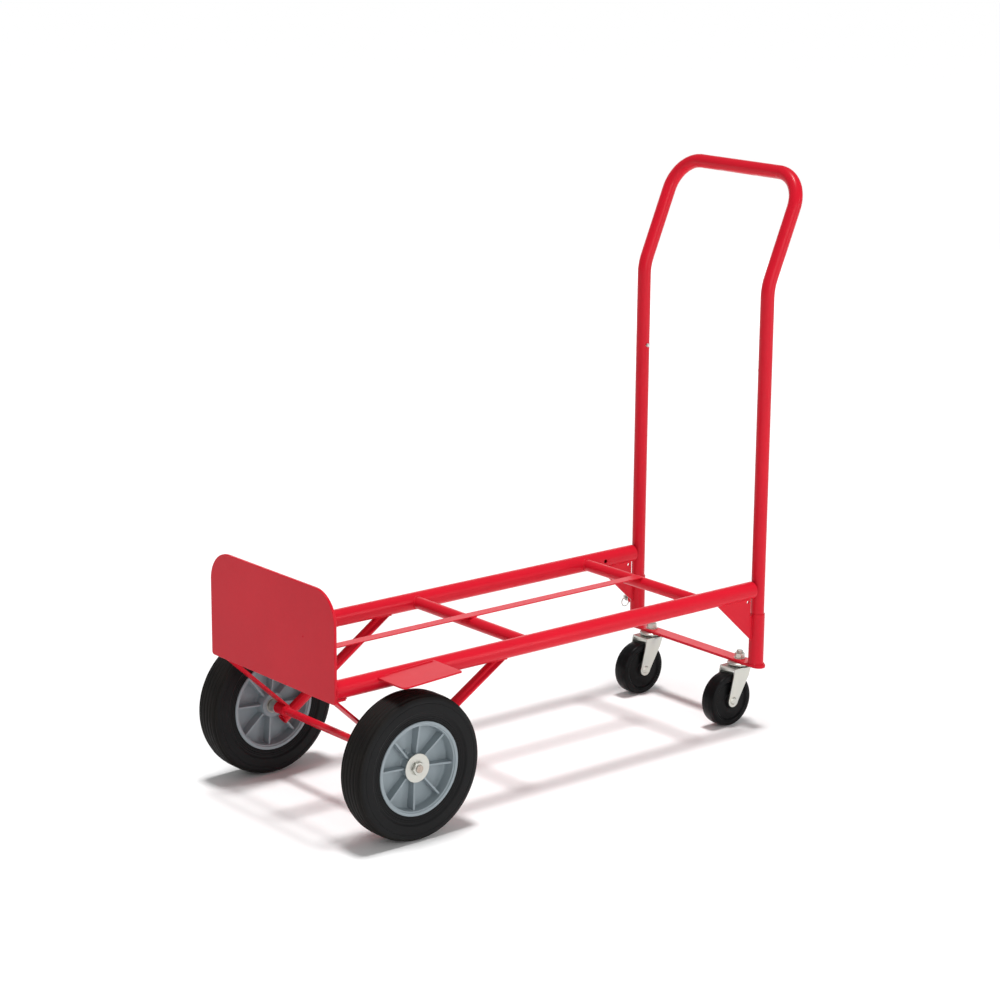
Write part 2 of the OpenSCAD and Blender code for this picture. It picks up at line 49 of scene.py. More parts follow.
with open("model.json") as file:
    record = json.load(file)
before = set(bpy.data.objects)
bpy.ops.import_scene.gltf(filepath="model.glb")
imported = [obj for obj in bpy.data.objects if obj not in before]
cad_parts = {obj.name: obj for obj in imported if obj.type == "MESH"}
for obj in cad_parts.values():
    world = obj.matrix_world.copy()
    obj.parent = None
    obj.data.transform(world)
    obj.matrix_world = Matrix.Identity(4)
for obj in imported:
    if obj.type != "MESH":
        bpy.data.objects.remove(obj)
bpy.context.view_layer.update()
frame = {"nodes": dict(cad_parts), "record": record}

MM = 0.001
SIDES = {"left": 1.0, "right": -1.0}
FULL_TURN = 2 * math.pi

# The axle brace runs from under the axle to the rail's middle, this far behind the axle.
BRACE_RADIUS = 9.5 * MM
BRACE_REACH = 249 * MM
# Half the width of the axle strap.
STRAP_HALF = 12.5 * MM
# How far the gusset's upright bead stands in front of the leg socket.
GUSSET_BEAD_GAP = 0.8 * MM
# Points round a weld's path, and directions that welds are laid along.
RING_STEPS = 64
AHEAD = np.array([1.0, 0.0, 0.0])
ACROSS = np.array([0.0, 1.0, 0.0])
UP = np.array([0.0, 0.0, 1.0])

OVERHEAD_STRENGTH = 2.68
OVERHEAD_SPREAD = math.radians(13)
SKY_STRENGTH = 0.26


# ---- Places and sizes from the frame ----


def middle(node):
    """Middle of a node's box."""
    low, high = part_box(node)
    return (low + high) / 2


def extent(node):
    """Size of a node's box along X, Y and Z."""
    low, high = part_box(node)
    return high - low


def body_of(node):
    """Name of the body that a node rides on."""
    return next(body for body, nodes in frame["record"]["behaviour"]["bodies"].items() if node in nodes)


def slot_of(node):
    """Name of the record's material slot for a node."""
    return next(part["material_slot"] for part in frame["record"]["subparts"] if part["node"] == node)


# ---- Shader maths ----


class Number:
    """A number socket of a finish. Arithmetic on it adds Math nodes."""

    def __init__(self, finish, socket):
        self.finish = finish
        self.socket = socket

    def maths(self, operation, *values):
        node = self.finish.node("ShaderNodeMath", {"operation": operation}, dict(enumerate(values)))
        return Number(self.finish, node.outputs[0])

    def __add__(self, other):
        return self.maths("ADD", self, other)

    def __sub__(self, other):
        return self.maths("SUBTRACT", self, other)

    def __rsub__(self, other):
        return self.maths("SUBTRACT", other, self)

    def __mul__(self, other):
        return self.maths("MULTIPLY", self, other)

    __radd__ = __add__
    __rmul__ = __mul__

    def power(self, other):
        return self.maths("POWER", self, other)

    def size(self):
        return self.maths("ABSOLUTE", self)

    def sine(self):
        return self.maths("SINE", self)

    def between(self, low, high):
        """0 below low and 1 above high, with an even rise between them."""
        node = self.finish.node(
            "ShaderNodeMapRange",
            {"clamp": True},
            {"Value": self, "From Min": low, "From Max": high},
        )
        return Number(self.finish, node.outputs[0])


class Finish:
    """A procedural material on a Principled shader, with constants set on its own sockets."""

    def __init__(self, name, **constants):
        self.material = bpy.data.materials.new(name)
        self.material.use_nodes = True
        self.tree = self.material.node_tree
        self.shader = self.tree.nodes["Principled BSDF"]
        for socket, value in constants.items():
            self.shader.inputs[socket.replace("_", " ").title().replace("Ior", "IOR")].default_value = value
        place = self.node("ShaderNodeTexCoord")
        self.place = place.outputs["Object"]
        split = self.node("ShaderNodeSeparateXYZ", {}, {"Vector": self.place})
        self.x, self.y, self.z = (Number(self, split.outputs[axis]) for axis in "XYZ")

    def node(self, kind, settings=None, values=None):
        """Adds a node, sets it up, then gives its sockets their values or links."""
        node = self.tree.nodes.new(kind)
        for key, value in (settings or {}).items():
            setattr(node, key, value)
        for key, value in (values or {}).items():
            self.feed(node.inputs[key], value)
        return node

    def feed(self, socket, value):
        """Gives a socket a value, or links a Number or another socket to it."""
        if isinstance(value, Number):
            value = value.socket
        if isinstance(value, bpy.types.NodeSocket):
            self.tree.links.new(value, socket)
        else:
            socket.default_value = value

    def noise(self, scale, detail=3.0, stretch=(1.0, 1.0, 1.0)):
        """Cloudy noise from 0 to 1, with scale in clouds per metre."""
        mapped = self.node("ShaderNodeMapping", {}, {"Vector": self.place, "Scale": stretch})
        node = self.node(
            "ShaderNodeTexNoise", {}, {"Vector": mapped.outputs[0], "Scale": scale, "Detail": detail}
        )
        return Number(self, node.outputs[0])

    def mix(self, mask, low, high):
        """Colour that is low where the mask is 0 and high where it is 1."""
        node = self.node("ShaderNodeMix", {"data_type": "RGBA"}, {0: mask, 6: low, 7: high})
        return node.outputs[2]

    def set(self, **surface):
        """Feeds what changes over the surface into the shader."""
        for socket, value in surface.items():
            self.feed(self.shader.inputs[socket.replace("_", " ").title()], value)

    def bump(self, height, depth):
        """Feeds a bump whose height of 1 stands depth metres proud."""
        node = self.node("ShaderNodeBump", {}, {"Height": height, "Strength": 1.0, "Distance": depth})
        self.feed(self.shader.inputs["Normal"], node.outputs["Normal"])


def shade(colour, gain):
    """A colour made lighter or darker, with its alpha kept."""
    return tuple(min(1.0, part * gain) for part in colour[:3]) + (1.0,)


def enamel_finish(looks):
    """Glossy stoved enamel: slow changes of tone, a fine orange peel and a clear top coat."""
    finish = Finish("red_enamel", coat_weight=0.05, coat_roughness=0.1, specular_ior_level=0.12)
    tone = finish.noise(7.0) * 0.7 + finish.noise(160.0) * 0.3
    finish.set(
        base_color=finish.mix(tone, shade(looks.enamel, 0.86), shade(looks.enamel, 1.14)),
        roughness=finish.noise(60.0) * 0.14 + looks.enamel_roughness,
    )
    finish.bump(finish.noise(420.0, 2.0), 0.06 * MM)
    return finish.material


def zinc_values(finish, looks):
    """Colour and roughness of bright zinc plate: faint spangle, long streaks, warm and cool tints."""
    spangle = finish.noise(260.0, 2.0)
    streak = finish.noise(55.0, 4.0, (1.0, 1.0, 0.12))
    tint = finish.noise(38.0)
    colour = finish.mix(tint, shade(looks.zinc, 0.92), shade((0.62, 0.60, 0.52), 1.0))
    return colour, streak * 0.20 + spangle * 0.06 + looks.zinc_roughness, streak


def zinc_finish(looks):
    """Bright zinc plate on pressed and turned steel."""
    finish = Finish("zinc_plate", metallic=1.0)
    colour, roughness, streak = zinc_values(finish, looks)
    finish.set(base_color=colour, roughness=roughness)
    finish.bump(streak, 0.03 * MM)
    return finish.material


def axle_finish(looks):
    """The axle bar: enamelled between the wheels and bare steel from the spacers outwards."""
    finish = Finish("axle_bar")
    colour, roughness, streak = zinc_values(finish, looks)
    bare = finish.y.size().between(middle("axle_strap_left").y, middle("axle_strap_left").y + 2 * MM)
    tone = finish.mix(finish.noise(9.0), shade(looks.enamel, 0.84), shade(looks.enamel, 1.1))
    end_rust = finish.y.size().between(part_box("axle")[1].y - 1.5 * MM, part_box("axle")[1].y - 0.5 * MM)
    steel = finish.mix(end_rust * finish.noise(300.0), colour, (0.30, 0.17, 0.11, 1.0))
    finish.set(
        base_color=finish.mix(bare, tone, steel),
        metallic=bare,
        roughness=roughness * bare + (1 - bare) * looks.enamel_roughness,
    )
    finish.bump(streak, 0.03 * MM)
    return finish.material


def radius_about(finish, node):
    """Distance of a surface point from the axis through a node's middle, along Y."""
    centre = middle(node)
    across = (finish.x - centre.x).power(2.0) + (finish.z - centre.z).power(2.0)
    return across.power(0.5)


def tyre_finish(looks, side):
    """Solid tyre rubber: a dusty bloom on the side walls, scuffed tread, and fine mould rings."""
    finish = Finish("tyre_rubber_" + side, specular_ior_level=0.12)
    reach = radius_about(finish, "tyre_" + side)
    tread = reach.between(extent("tyre_left").z / 2 - 9 * MM, extent("tyre_left").z / 2 - 4 * MM)
    cloud = finish.noise(26.0, 5.0)
    rings = (reach * (FULL_TURN / (2.1 * MM))).sine()
    grain = finish.noise(700.0, 2.0)
    wall = finish.mix(cloud, shade(looks.rubber, 0.8), shade(looks.rubber, 1.7))
    scuffed = finish.mix(cloud, shade(looks.rubber, 0.7), (0.014, 0.012, 0.010, 1.0))
    finish.set(
        base_color=finish.mix(tread, wall, scuffed),
        roughness=cloud * 0.16 + tread * 0.14 + looks.rubber_roughness,
    )
    finish.bump(grain * 0.7 + rings * (1 - tread) * 0.3, 0.12 * MM)
    return finish.material


def hub_finish(looks, side):
    """Moulded grey plastic: a faint flow pattern from the boss outwards and a fine matt grain."""
    finish = Finish("hub_plastic_" + side, specular_ior_level=0.3)
    reach = radius_about(finish, "hub_" + side)
    flow = finish.noise(24.0, 4.0) * 0.6 + (reach * 90.0).sine() * 0.08 + 0.2
    finish.set(
        base_color=finish.mix(flow, shade(looks.plastic, 0.88), shade(looks.plastic, 1.12)),
        roughness=finish.noise(120.0) * 0.15 + looks.plastic_roughness,
    )
    finish.bump(finish.noise(900.0, 2.0), 0.05 * MM)
    return finish.material


def caster_finish(looks):
    """Hard black caster rubber: even and satin, with small scuffs."""
    finish = Finish("caster_rubber", specular_ior_level=0.1)
    scuff = finish.noise(90.0, 6.0).between(0.55, 0.75)
    finish.set(
        base_color=finish.mix(scuff, shade(looks.rubber, 0.6), shade(looks.rubber, 1.6)),
        roughness=scuff * 0.2 + looks.caster_roughness,
    )
    finish.bump(finish.noise(500.0, 2.0), 0.06 * MM)
    return finish.material


def spring_finish(looks):
    """Blued spring steel, dark in the heat bands."""
    finish = Finish("spring_steel", metallic=1.0)
    band = finish.noise(120.0, 3.0, (1.0, 1.0, 0.3))
    finish.set(
        base_color=finish.mix(band, (0.22, 0.23, 0.26, 1.0), (0.46, 0.45, 0.42, 1.0)),
        roughness=band * 0.2 + 0.28,
    )
    finish.bump(band, 0.02 * MM)
    return finish.material


def floor_finish(colour):
    """Seamless studio paper: matt and nearly white, with a very soft mottle."""
    finish = Finish("studio_floor", specular_ior_level=0.2)
    finish.set(
        base_color=finish.mix(finish.noise(1.5), shade(colour, 0.995), shade(colour, 1.0)),
        roughness=finish.noise(6.0) * 0.1 + 0.8,
    )
    return finish.material


MAKERS = {
    "red_enamel": enamel_finish,
    "zinc_plate": zinc_finish,
    "caster_rubber": caster_finish,
    "spring_steel": spring_finish,
}
made = {}


def finish_for(node):
    """The one shared material for a node's slot. Tyres and hubs have one per wheel, for their own centre."""
    slot = slot_of(node)
    looks = bpy.context.scene.truck_looks
    side = node.rsplit("_", 1)[-1]
    key = slot + side if slot in ("tyre_rubber", "hub_plastic") else slot
    if node == "axle":
        key = "axle"
    if key not in made:
        if node == "axle":
            made[key] = axle_finish(looks)
        elif slot == "tyre_rubber":
            made[key] = tyre_finish(looks, side)
        elif slot == "hub_plastic":
            made[key] = hub_finish(looks, side)
        else:
            made[key] = MAKERS[slot](looks)
    return made[key]


# ---- Surfaces ----


def quads(rows, columns, close_rows, close_columns, first=0):
    """Faces of a grid of points, counted row by row. A closed way joins its last line back to its first."""
    index = np.arange(rows * columns).reshape(rows, columns) + first
    if close_rows:
        index = np.vstack([index, index[:1]])
    if close_columns:
        index = np.hstack([index, index[:, :1]])
    corners = [index[:-1, :-1], index[1:, :-1], index[1:, 1:], index[:-1, 1:]]
    return np.stack(corners, axis=-1).reshape(-1, 4)


class Surface:
    """Patches of points and faces that make up one piece."""

    def __init__(self):
        self.points = []
        self.faces = []
        self.count = 0

    def grid(self, points, close_rows=False, capped=False):
        """Adds a tube of points (rows, columns, 3). Capped ends are closed with one flat face each."""
        rows, columns, _ = points.shape
        faces = [tuple(face) for face in quads(rows, columns, close_rows, True, self.count).tolist()]
        if capped:
            last = self.count + (rows - 1) * columns
            faces += [tuple(range(self.count, self.count + columns)), tuple(range(last, last + columns))]
        self.points.append(points.reshape(-1, 3))
        self.faces += faces
        self.count += rows * columns
        return self

    def build(self, name, node, sharp=38.0, replaces=()):
        """Makes the mesh object with its normals outwards, finished and riding like its node."""
        mesh = bpy.data.meshes.new(name)
        mesh.from_pydata(np.concatenate(self.points).tolist(), [], self.faces)
        merged = bmesh.new()
        merged.from_mesh(mesh)
        bmesh.ops.remove_doubles(merged, verts=merged.verts, dist=0.002 * MM)
        bmesh.ops.recalc_face_normals(merged, faces=merged.faces)
        merged.to_mesh(mesh)
        merged.free()
        return finished(name, mesh, node, sharp, replaces)


def finished(name, mesh, node, sharp, replaces):
    """Links a mesh as a piece: smooth but for edges sharper than an angle, riding on a node's body."""
    piece = bpy.data.objects.new(name, mesh)
    bpy.context.scene.collection.objects.link(piece)
    mesh.shade_smooth()
    mesh.set_sharp_from_angle(angle=math.radians(sharp))
    mesh.materials.clear()
    mesh.materials.append(finish_for(node))
    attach(piece, body_of(node))
    if replaces:
        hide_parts(*replaces)
    return piece


def dressed(node, edge=0.5 * MM, sharp=38.0, segments=2):
    """A merged copy of a solid with its flat faces joined up and its edges rounded off."""
    mesh = frame["nodes"][node].data.copy()
    merged = bmesh.new()
    merged.from_mesh(mesh)
    bmesh.ops.remove_doubles(merged, verts=merged.verts, dist=0.001 * MM)
    bmesh.ops.dissolve_limit(
        merged, angle_limit=math.radians(0.6), verts=merged.verts, edges=merged.edges
    )
    merged.to_mesh(mesh)
    merged.free()
    piece = finished(node + "_dressed", mesh, node, sharp, (node,))
    if edge:
        bevel = piece.modifiers.new("Rounded edges", "BEVEL")
        bevel.width = edge
        bevel.segments = segments
        bevel.limit_method = "ANGLE"
        bevel.angle_limit = math.radians(sharp)
        bevel.harden_normals = True
    return piece


def soft_outline(corners, count, softness):
    """Points spaced evenly round a closed line through corners, then rounded by a moving average."""
    line = np.vstack([corners, corners[:1]])
    along = np.concatenate([[0.0], np.cumsum(np.linalg.norm(np.diff(line, axis=0), axis=1))])
    at = np.linspace(0.0, along[-1], count, endpoint=False)
    points = np.stack([np.interp(at, along, line[:, axis]) for axis in range(2)], axis=1)
    weights = np.hanning(2 * softness + 3)[1:-1]
    weights /= weights.sum()
    padded = np.pad(points, ((softness, softness), (0, 0)), mode="wrap")
    return np.stack([np.convolve(padded[:, axis], weights, "valid") for axis in range(2)], axis=1)


def lathe(profile, centre, side, steps):
    """Turns a profile of (radius, distance outwards) about the Y axis through centre.

    A point of radius r at angle a lies at x + r cos a, z + r sin a, and side times the distance along Y.
    """
    angle = np.linspace(0.0, FULL_TURN, steps, endpoint=False)[None, :]
    radius, along = profile[:, :1], profile[:, 1:]
    return np.stack(
        [
            centre.x + radius * np.cos(angle),
            centre.y + side * along + 0 * angle,
            centre.z + radius * np.sin(angle),
        ],
        axis=-1,
    )


def dip(values, at, width):
    """A smooth hump of height 1 and the given half width, centred on a value."""
    return np.exp(-(((values - at) / width) ** 2))


# ---- Welds ----


def bead(surface, path, width, closed=True, ripple=2.4 * MM):
    """Adds a weld bead: a tube along a path whose radius swells and sinks once in each ripple.

    At distance s along the path the radius is width/2 (1 + 0.16 cos(2 pi s / ripple)).
    """
    if closed:
        path = np.vstack([path, path[:1]])
    along = np.concatenate([[0.0], np.cumsum(np.linalg.norm(np.diff(path, axis=0), axis=1))])
    waves = max(3, round(along[-1] / ripple))
    count = waves * 4 + (0 if closed else 1)
    at = np.linspace(0.0, along[-1], count, endpoint=not closed)
    spine = np.stack([np.interp(at, along, path[:, axis]) for axis in range(3)], axis=1)
    if closed:
        ahead = np.roll(spine, -1, axis=0) - np.roll(spine, 1, axis=0)
    else:
        ahead = np.gradient(spine, axis=0)
    ahead /= np.linalg.norm(ahead, axis=1)[:, None]
    out = spine - spine.mean(axis=0)
    if np.linalg.norm(np.cross(ahead[0], out[0])) < 1e-6:
        out = out + np.eye(3)[np.argmin(np.abs(ahead[0]))]
    out -= (out * ahead).sum(axis=1)[:, None] * ahead
    out /= np.linalg.norm(out, axis=1)[:, None]
    over = np.cross(ahead, out)
    swell = width / 2 * (1 + 0.16 * np.cos(FULL_TURN * waves * at / along[-1]))
    if not closed:
        swell *= np.clip(np.minimum(at, along[-1] - at) / width + 0.35, 0.35, 1.0)
    angle = np.linspace(0.0, FULL_TURN, 8, endpoint=False)
    ring = (
        out[:, None, :] * np.cos(angle)[None, :, None] + over[:, None, :] * np.sin(angle)[None, :, None]
    )
    surface.grid(spine[:, None, :] + swell[:, None, None] * ring, close_rows=closed, capped=not closed)


def saddle(start, towards, radius, rail_middle, rail_radius):
    """Where a tube from start runs into a rail along X.

    Each line of the tube's surface is p + t d. It meets the rail where its distance from the rail's axis in
    Y and Z is the rail's radius, so t is the smaller root of a quadratic.
    """
    axis = np.asarray(towards, float) - np.asarray(start, float)
    axis /= np.linalg.norm(axis)
    flat = np.cross(axis, [1.0, 0.0, 0.0] if abs(axis[0]) < 0.9 else [0.0, 1.0, 0.0])
    flat /= np.linalg.norm(flat)
    up = np.cross(axis, flat)
    angle = np.linspace(0.0, FULL_TURN, RING_STEPS, endpoint=False)
    ring = np.asarray(start) + radius * (np.cos(angle)[:, None] * flat + np.sin(angle)[:, None] * up)
    off = ring[:, 1:] - np.asarray(rail_middle)[1:]
    a = (axis[1:] ** 2).sum()
    b = 2 * off @ axis[1:]
    c = (off**2).sum(axis=1) - rail_radius**2
    root = np.sqrt(np.maximum(b * b - 4 * a * c, 0.0))
    return ring + ((-b - root) / (2 * a))[:, None] * axis


def circle(centre, radius, first, second):
    """Points round a circle spanned by two directions."""
    angle = np.linspace(0.0, FULL_TURN, RING_STEPS, endpoint=False)
    return (
        np.asarray(centre)
        + radius * np.cos(angle)[:, None] * np.asarray(first)
        + radius * np.sin(angle)[:, None] * np.asarray(second)
    )


# ---- Settings ----


class TruckLooks(bpy.types.PropertyGroup):
    """Colours and gloss of the truck's finishes."""

    enamel: FloatVectorProperty(
        name="Enamel",
        description="Colour of the stoved enamel on the frame and handle",
        default=(0.62, 0.009, 0.024, 1.0),
        size=4,
        subtype="COLOR",
        min=0.0,
        max=1.0,
    )
    enamel_roughness: FloatProperty(
        name="Enamel roughness",
        description="Least roughness of the enamel under its top coat",
        default=0.24,
        min=0.0,
        max=1.0,
        subtype="FACTOR",
    )
    zinc: FloatVectorProperty(
        name="Zinc",
        description="Colour of the zinc plate",
        default=(0.56, 0.58, 0.57, 1.0),
        size=4,
        subtype="COLOR",
        min=0.0,
        max=1.0,
    )
    zinc_roughness: FloatProperty(
        name="Zinc roughness",
        description="Least roughness of the zinc plate",
        default=0.27,
        min=0.0,
        max=1.0,
        subtype="FACTOR",
    )
    rubber: FloatVectorProperty(
        name="Rubber",
        description="Colour of the tyres and casters",
        default=(0.0065, 0.0066, 0.0070, 1.0),
        size=4,
        subtype="COLOR",
        min=0.0,
        max=1.0,
    )
    rubber_roughness: FloatProperty(
        name="Tyre roughness",
        description="Least roughness of the tyres",
        default=0.42,
        min=0.0,
        max=1.0,
        subtype="FACTOR",
    )
    caster_roughness: FloatProperty(
        name="Caster roughness",
        description="Least roughness of the caster wheels",
        default=0.30,
        min=0.0,
        max=1.0,
        subtype="FACTOR",
    )
    plastic: FloatVectorProperty(
        name="Hub plastic",
        description="Colour of the moulded hubs",
        default=(0.27, 0.315, 0.34, 1.0),
        size=4,
        subtype="COLOR",
        min=0.0,
        max=1.0,
    )
    plastic_roughness: FloatProperty(
        name="Hub roughness",
        description="Least roughness of the moulded hubs",
        default=0.38,
        min=0.0,
        max=1.0,
        subtype="FACTOR",
    )


class TruckSizes(bpy.types.PropertyGroup):
    """Sizes of the fine detail that the frame's solids leave out."""

    groove_depth: FloatProperty(
        name="Groove depth",
        description="Depth of the tread grooves",
        default=1.3 * MM,
        min=0.0,
        unit="LENGTH",
        precision=5,
    )
    bead_width: FloatProperty(
        name="Weld width",
        description="Width of a weld bead",
        default=3.4 * MM,
        min=0.5 * MM,
        unit="LENGTH",
        precision=5,
    )
    thread_pitch: FloatProperty(
        name="Thread pitch",
        description="Distance between two turns of the thread on a stem",
        default=1.75 * MM,
        min=0.5 * MM,
        unit="LENGTH",
        precision=5,
    )
    rib_width: FloatProperty(
        name="Rib width",
        description="Thickness of a hub rib at its top",
        default=3.6 * MM,
        min=1.0 * MM,
        unit="LENGTH",
        precision=5,
    )
    rib_count: IntProperty(name="Ribs", description="Number of ribs in a hub", default=8, min=3, max=16)


class TruckStage(bpy.types.PropertyGroup):
    """The floor, the lights and the camera."""

    floor: FloatVectorProperty(
        name="Floor",
        description="Colour of the floor",
        default=(0.93, 0.93, 0.93, 1.0),
        size=4,
        subtype="COLOR",
        min=0.0,
        max=1.0,
    )
    distance: FloatProperty(
        name="Distance", description="Camera's distance from its aim", default=4.7, min=0.5, unit="LENGTH"
    )
    turn: FloatProperty(
        name="Turn",
        description="Angle of the camera round the truck, from straight along +Y",
        default=math.radians(-39.67),
        subtype="ANGLE",
    )
    rise: FloatProperty(
        name="Rise",
        description="Angle of the camera above level",
        default=math.radians(14.27),
        subtype="ANGLE",
    )
    roll: FloatProperty(
        name="Roll", description="Roll of the camera", default=math.radians(0.45), subtype="ANGLE"
    )
    aim: FloatVectorProperty(
        name="Aim",
        description="Point that the camera looks at",
        default=(-0.0689, -0.0290, 0.4915),
        size=3,
        subtype="TRANSLATION",
    )
    lens: FloatProperty(name="Lens", description="Focal length in millimetres", default=96.4, min=10.0)


# ---- Operators ----


class TRUCK_OT_frame_tubes(bpy.types.Operator):
    """Dress the rails, cross tubes, braces and leg sockets in rounded, enamelled surfaces"""

    bl_idname = "truck.frame_tubes"
    bl_label = "Frame tubes"

    def execute(self, context):
        for node in ("front_cross_tube", "rear_cross_tube"):
            dressed(node, 0)
        for side in SIDES:
            dressed("rail_" + side, 0.5 * MM)
            dressed("leg_socket_" + side, 0.4 * MM)
            dressed("axle_brace_" + side, 0)
        return {"FINISHED"}


class TRUCK_OT_frame_plates(bpy.types.Operator):
    """Dress the toe plate, deck strip, guards, straps, gussets, caster bar and lock boss"""

    bl_idname = "truck.frame_plates"
    bl_label = "Frame plates"

    def execute(self, context):
        dressed("toe_plate", 1.2 * MM, segments=3)
        dressed("deck_strip", 0.8 * MM)
        dressed("caster_bar", 1.0 * MM, segments=3)
        for side in SIDES:
            dressed("wheel_guard_" + side, 0.7 * MM)
            dressed("axle_strap_" + side, 0.6 * MM)
            dressed("gusset_" + side, 0.6 * MM)
        dressed("lock_boss", 0.3 * MM)
        return {"FINISHED"}


class TRUCK_OT_welds(bpy.types.Operator):
    """Lay weld beads where the frame's tubes and plates meet"""

    bl_idname = "truck.welds"
    bl_label = "Welds"

    def execute(self, context):
        width = context.scene.truck_sizes.bead_width
        for side, sign in SIDES.items():
            surface = Surface()
            rail = np.array(middle("rail_" + side))
            radius = extent("rail_" + side).z / 2
            self.tubes(surface, rail, radius, sign, width)
            self.toe_and_socket(surface, side, rail, radius, width)
            self.guard(surface, side, sign, rail, radius, width)
            self.brace(surface, side, rail, radius, width)
            self.gusset(surface, side, rail[2] - radius, 0.8 * width)
            self.strap(surface, side, rail[2] - radius, 0.8 * width)
            surface.build("welds_" + side, "rail_" + side, sharp=60.0)
        self.middle_welds(0.7 * width)
        return {"FINISHED"}

    def tubes(self, surface, rail, radius, sign, width):
        """Cross tubes into the rail."""
        for node in ("front_cross_tube", "rear_cross_tube"):
            tube = np.array(middle(node))
            ring = saddle(tube, tube + sign * ACROSS, extent(node).z / 2, rail, radius)
            bead(surface, ring, width)

    def toe_and_socket(self, surface, side, rail, radius, width):
        """Rail onto the back of the toe plate, and leg socket onto the caster bar."""
        plate_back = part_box("toe_plate")[1].x
        bead(surface, circle((plate_back, rail[1], rail[2]), radius, ACROSS, UP), width)
        leg = middle("leg_socket_" + side)
        foot = (leg.x, leg.y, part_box("caster_bar")[1].z)
        bead(surface, circle(foot, extent("leg_socket_" + side).x / 2, AHEAD, ACROSS), width)

    def guard(self, surface, side, sign, rail, radius, width):
        """Guard along the top of the rail."""
        low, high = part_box("wheel_guard_" + side)
        top = middle("wheel_guard_" + side).z - rail[2] + 1.5 * MM
        face = rail[1] + sign * math.sqrt(radius**2 - top**2)
        seam = [[low.x + 4 * MM, face, low.z + 3 * MM], [high.x - 4 * MM, face, high.z]]
        bead(surface, np.array(seam), width, closed=False)

    def brace(self, surface, side, rail, radius, width):
        """Brace into the underside of the rail."""
        axle = middle("axle")
        foot = np.array([axle.x, middle("axle_strap_" + side).y, axle.z - 2 * BRACE_RADIUS])
        head = np.array([axle.x + BRACE_REACH, rail[1], rail[2]])
        bead(surface, saddle(foot, head, BRACE_RADIUS, rail, radius), width)

    def gusset(self, surface, side, under, width):
        """Gusset up the front of the leg socket and along the underside of the rail."""
        low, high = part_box("gusset_" + side)
        socket = "leg_socket_" + side
        front = middle(socket).x - extent(socket).x / 2 - GUSSET_BEAD_GAP
        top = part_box(socket)[1].z - 4 * MM
        rail_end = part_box("rail_" + side)[1].x
        for face in (low.y, high.y):
            bead(surface, np.array([[front, face, low.z], [front, face, top]]), width, closed=False)
            level = [[low.x, face, under], [rail_end - 24 * MM, face, under]]
            bead(surface, np.array(level), width, closed=False)

    def strap(self, surface, side, under, width):
        """Strap under the front end of the rail, and its eye round the axle."""
        plate_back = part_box("toe_plate")[1].x
        centre = middle("axle_strap_" + side).y
        for face in (centre - STRAP_HALF, centre + STRAP_HALF):
            lap = [[plate_back + 3 * MM, face, under], [plate_back + 26 * MM, face, under]]
            bead(surface, np.array(lap), width, closed=False)
        axle = middle("axle")
        low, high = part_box("axle_strap_" + side)
        for face in (low.y, high.y):
            bead(surface, circle((axle.x, face, axle.z), extent("axle").x / 2, AHEAD, UP), width)

    def middle_welds(self, width):
        """The ends of the deck strip and the lock boss on its leg."""
        surface = Surface()
        low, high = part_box("deck_strip")
        for tube in ("front_cross_tube", "rear_cross_tube"):
            tube_x = middle(tube).x
            for face in (low.y, high.y):
                seam = [[tube_x - 7 * MM, face, low.z], [min(tube_x + 7 * MM, high.x), face, low.z]]
                bead(surface, np.array(seam), width, closed=False)
        boss = middle("lock_boss")
        leg = middle("leg_socket_left")
        leg_radius = extent("leg_socket_left").x / 2
        boss_radius = extent("lock_boss").z / 2
        angle = np.linspace(0.0, FULL_TURN, 48, endpoint=False)
        off = boss_radius * np.cos(angle)
        seat = np.sqrt(leg_radius**2 - off**2)
        ring = np.stack([leg.x + off, leg.y + seat, boss.z + boss_radius * np.sin(angle)], axis=1)
        bead(surface, ring, width)
        surface.build("welds_middle", "deck_strip", sharp=60.0)


class TRUCK_OT_axle(bpy.types.Operator):
    """Dress the axle and its spacers, washers and nuts"""

    bl_idname = "truck.axle"
    bl_label = "Axle"

    def execute(self, context):
        dressed("axle", 1.0 * MM, segments=3)
        dressed("axle_spacers", 0.4 * MM)
        dressed("axle_washers", 0.6 * MM, segments=3)
        dressed("axle_nuts", 0.3 * MM, sharp=20.0)
        return {"FINISHED"}


